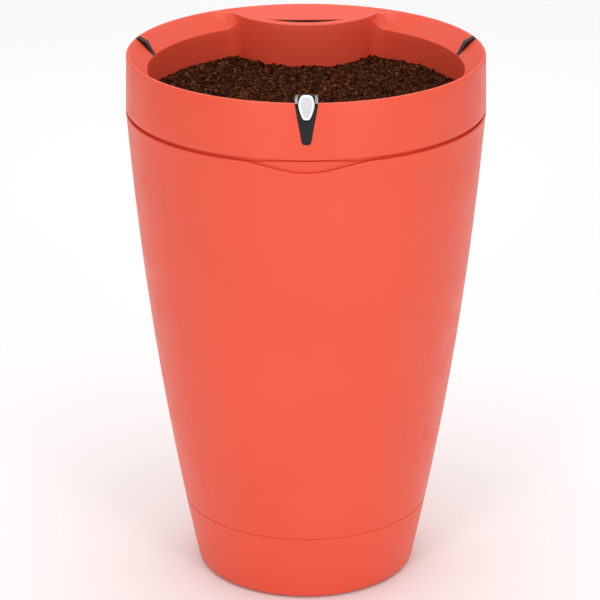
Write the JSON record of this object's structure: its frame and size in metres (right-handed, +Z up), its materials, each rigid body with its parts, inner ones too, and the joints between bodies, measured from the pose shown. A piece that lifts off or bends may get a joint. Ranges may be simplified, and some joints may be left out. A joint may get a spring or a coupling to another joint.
{
  "type": "self-watering planter",
  "caption": "Tall tapered self-watering planter: a water tank and a lift-out planting insert with rim nozzles, a pump and sensors.",
  "frame": {"origin": "on the floor, in the middle of the round base", "axes": "+Z up through the tank's axis, -Y the front with the light sensor, +Y the rear lobe with the filling slot"},
  "size_m": [0.2046, 0.205, 0.3194],
  "materials": {
    "coral_plastic": "satin moulded plastic",
    "rubber": "matte",
    "hose_rubber": "matte",
    "cable_rubber": "matte",
    "soil": "damp crumbs",
    "grey_plastic": "matte",
    "black_gloss": "glossy",
    "black_plastic": "fine texture",
    "silver_trim": "satin metallic",
    "white_gloss": "glossy",
    "lens_grey": "translucent",
    "board_green": "solder mask",
    "part_plastic": "moulded",
    "steel": "plain",
    "gold_metal": "plated",
    "cell_wrap": "printed sleeve without lettering",
    "rotor_plastic": "moulded"
  },
  "bodies": {
    "tank": {"tank_shell": "coral_plastic", "base_cup": "coral_plastic", "base_seal": "rubber", "rubber_feet": "rubber"},
    "drain_plug": {"drain_plug": "rubber"},
    "insert": {"rim_ring": "coral_plastic", "inner_pot": "coral_plastic", "potting_soil": "soil", "drain_grate": "grey_plastic", "rim_screws": "steel", "sensor_body": "black_gloss", "sensor_ears": "silver_trim", "lens_frame": "white_gloss", "light_lens": "lens_grey", "sensor_board": "board_green", "nozzle_front": "black_gloss", "nozzle_right": "black_gloss", "nozzle_left": "black_gloss", "ring_hose": "hose_rubber", "hose_clips": "black_plastic", "riser_hose": "hose_rubber", "control_housing": "black_plastic", "housing_gasket": "rubber", "housing_cover": "black_plastic", "cover_screws": "steel", "control_board": "board_green", "board_parts": "part_plastic", "moisture_probes": "gold_metal", "probe_seals": "rubber", "battery_capsule": "black_plastic", "battery_cells": "cell_wrap", "battery_contacts": "steel", "cap_seal": "rubber", "pump_stem": "black_plastic", "pump_motor": "black_plastic", "pump_chamber": "black_plastic", "pump_cover": "black_plastic", "pump_shaft": "steel", "pump_cable": "cable_rubber", "battery_cable": "cable_rubber", "sensor_cable": "cable_rubber"},
    "fill_basket": {"fill_basket": "grey_plastic"},
    "battery_cap": {"battery_cap": "black_plastic", "cap_contacts": "steel"},
    "pump_rotor": {"pump_rotor": "rotor_plastic"}
  },
  "joints": [
    {"name": "insert_lift", "type": "slide", "parent": "tank", "child": "insert", "axis": [0, 0, 1], "range_m": [0, 0.275]},
    {"name": "plug_pull", "type": "slide", "parent": "tank", "child": "drain_plug", "axis": [0, 0, -1], "range_m": [0, 0.014]},
    {"name": "basket_lift", "type": "slide", "parent": "insert", "child": "fill_basket", "axis": [0, 0, 1], "range_m": [0, 0.016]},
    {"name": "cap_pull", "type": "slide", "parent": "insert", "child": "battery_cap", "axis": [0, 0, -1], "range_m": [0, 0.018]},
    {"name": "rotor_spin", "type": "hinge", "parent": "insert", "child": "pump_rotor", "pos_m": [0, 0.022, 0.024], "axis": [0, 0, 1], "continuous": true}
  ]
}
